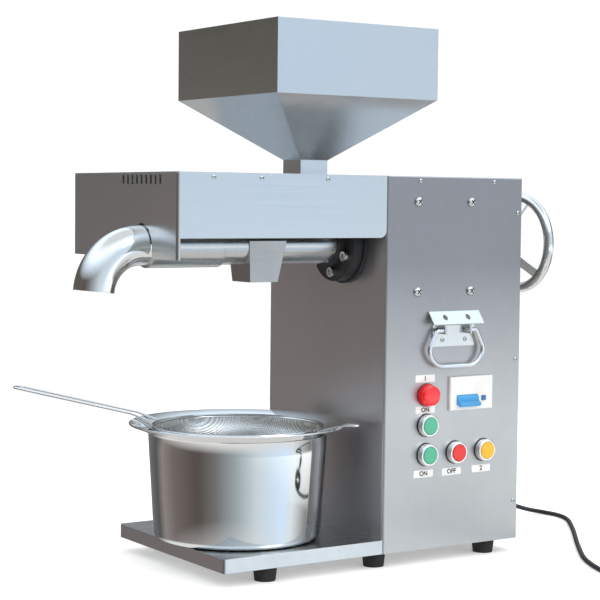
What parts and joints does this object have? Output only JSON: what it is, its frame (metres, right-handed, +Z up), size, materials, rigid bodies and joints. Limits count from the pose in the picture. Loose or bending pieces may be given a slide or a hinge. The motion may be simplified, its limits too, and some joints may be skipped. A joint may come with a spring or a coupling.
{
  "type": "screw oil press",
  "caption": "Bench screw oil press: square hopper over a covered horizontal barrel with outlet elbow, drive cabinet with push buttons and hand wheel, pot with strainer.",
  "frame": {"origin": "on the floor under the feet, at the middle of the press's own bounding box, its cord, coil and plug left out", "axes": "+X along the press axis from the outlet elbow to the hand wheel, +Y from the control panel's side to the plain side, +Z up"},
  "size_m": [0.8484, 0.6994, 0.698],
  "materials": {
    "stainless_sheet": "brushed",
    "stainless_polished": "polished",
    "steel_turned": "turned",
    "zinc_steel": "zinc plated",
    "black_casting": "black paint",
    "gear_steel": "machined",
    "bronze": "machined",
    "grey_casting": "grey paint",
    "motor_paint": "satin",
    "feet_rubber": "matte",
    "black_plastic": "matte",
    "lamp_red": "translucent gloss",
    "green_plastic": "gloss",
    "red_plastic": "gloss",
    "yellow_plastic": "gloss",
    "white_plastic": "satin",
    "blue_plastic": "satin",
    "cord_rubber": "satin",
    "belt_rubber": "matte",
    "mesh_steel": "woven mesh",
    "bezel_chrome": "polished"
  },
  "bodies": {
    "press_frame": {"base_tray": "stainless_sheet", "base_rails": "zinc_steel", "rubber_feet": "feet_rubber", "foot_screws": "zinc_steel", "cabinet_wrap": "stainless_sheet", "top_panel": "stainless_sheet", "rear_panel": "stainless_sheet", "panel_screws": "zinc_steel", "gearbox_screws": "zinc_steel", "cover_wrap": "stainless_sheet", "cover_top": "stainless_sheet", "hopper": "stainless_sheet", "feed_inlet": "steel_turned", "press_barrel": "steel_turned", "flange_bolts": "zinc_steel", "bearing_housing": "black_casting", "nozzle_ring": "steel_turned", "outlet_sleeve": "steel_turned", "outlet_elbow": "stainless_polished", "oil_chute": "stainless_sheet", "shaft_bearings": "gear_steel", "gearbox_housing": "grey_casting", "gearbox_cover": "grey_casting", "gearbox_brackets": "zinc_steel", "motor_body": "motor_paint", "motor_mount": "zinc_steel", "drive_belt": "belt_rubber", "button_housings": "bezel_chrome", "panel_gaskets": "black_plastic", "lamp_housing": "lamp_red", "lamp_lens": "lamp_red", "breaker_body": "white_plastic", "handle_plates": "zinc_steel", "barrel_flange": "black_casting", "cable_gland": "black_plastic", "power_cord": "cord_rubber", "cord_coil": "cord_rubber", "power_plug": "black_plastic"},
    "press_screw_set": {"press_screw": "steel_turned", "drive_shaft": "steel_turned", "main_gear": "gear_steel", "hand_wheel": "stainless_polished", "wheel_nut": "zinc_steel"},
    "layshaft_set": {"layshaft": "gear_steel", "lay_gear": "gear_steel"},
    "input_set": {"input_shaft": "gear_steel", "driven_pulley": "grey_casting"},
    "motor_rotor": {"motor_shaft": "steel_turned", "motor_pulley": "grey_casting"},
    "control_side_bail": {"control_side_bail": "zinc_steel"},
    "plain_side_bail": {"plain_side_bail": "zinc_steel"},
    "breaker_toggle": {"breaker_toggle": "blue_plastic"},
    "breaker_test_button": {"breaker_test_button": "blue_plastic"},
    "collecting_pot": {"collecting_pot": "stainless_polished"},
    "strainer": {"strainer_bowl": "mesh_steel", "strainer_frame": "stainless_polished"},
    "upper_green_button": {"upper_green_button": "green_plastic"},
    "lower_green_button": {"lower_green_button": "green_plastic"},
    "red_button": {"red_button": "red_plastic"},
    "yellow_button": {"yellow_button": "yellow_plastic"}
  },
  "joints": [
    {"name": "screw_spin", "type": "hinge", "parent": "press_frame", "child": "press_screw_set", "pos_m": [0.04508, -0.08981, 0.4197], "axis": [1, 0, 0], "continuous": true},
    {"name": "layshaft_spin", "type": "hinge", "parent": "press_frame", "child": "layshaft_set", "pos_m": [0.04508, -0.02481, 0.4197], "axis": [1, 0, 0], "continuous": true},
    {"name": "input_spin", "type": "hinge", "parent": "press_frame", "child": "input_set", "pos_m": [0.04508, 0.02769, 0.4197], "axis": [1, 0, 0], "continuous": true},
    {"name": "motor_spin", "type": "hinge", "parent": "press_frame", "child": "motor_rotor", "pos_m": [0.04508, 0.02769, 0.126], "axis": [1, 0, 0], "continuous": true},
    {"name": "control_side_bail_swing", "type": "hinge", "parent": "press_frame", "child": "control_side_bail", "pos_m": [0.15608, -0.18911, 0.308], "axis": [1, 0, 0], "range_deg": [-88, 3]},
    {"name": "plain_side_bail_swing", "type": "hinge", "parent": "press_frame", "child": "plain_side_bail", "pos_m": [0.15608, 0.10689, 0.308], "axis": [1, 0, 0], "range_deg": [-3, 88]},
    {"name": "breaker_toggle_turn", "type": "hinge", "parent": "press_frame", "child": "breaker_toggle", "pos_m": [0.17858, -0.18081, 0.214], "axis": [1, 0, 0], "range_deg": [-56, 0]},
    {"name": "breaker_test_press", "type": "slide", "parent": "press_frame", "child": "breaker_test_button", "axis": [0, 1, 0], "range_m": [0, 0.0015], "stiffness_N_per_m": 300, "springref_m": -0.0005},
    {"name": "pot_lift", "type": "slide", "parent": "press_frame", "child": "collecting_pot", "axis": [0, 0, 1], "range_m": [0, 0.1]},
    {"name": "strainer_lift", "type": "slide", "parent": "collecting_pot", "child": "strainer", "axis": [0, 0, 1], "range_m": [0, 0.08]},
    {"name": "upper_green_button_press", "type": "slide", "parent": "press_frame", "child": "upper_green_button", "axis": [0, 1, 0], "range_m": [0, 0.0035], "stiffness_N_per_m": 300, "springref_m": -0.001},
    {"name": "lower_green_button_press", "type": "slide", "parent": "press_frame", "child": "lower_green_button", "axis": [0, 1, 0], "range_m": [0, 0.0035], "stiffness_N_per_m": 300, "springref_m": -0.001},
    {"name": "red_button_press", "type": "slide", "parent": "press_frame", "child": "red_button", "axis": [0, 1, 0], "range_m": [0, 0.0035], "stiffness_N_per_m": 300, "springref_m": -0.001},
    {"name": "yellow_button_press", "type": "slide", "parent": "press_frame", "child": "yellow_button", "axis": [0, 1, 0], "range_m": [0, 0.0035], "stiffness_N_per_m": 300, "springref_m": -0.001}
  ],
  "couplings": [
    {"joint": "layshaft_spin", "follows": "screw_spin", "ratio": -3},
    {"joint": "input_spin", "follows": "screw_spin", "ratio": 9},
    {"joint": "motor_spin", "follows": "screw_spin", "ratio": 18}
  ]
}
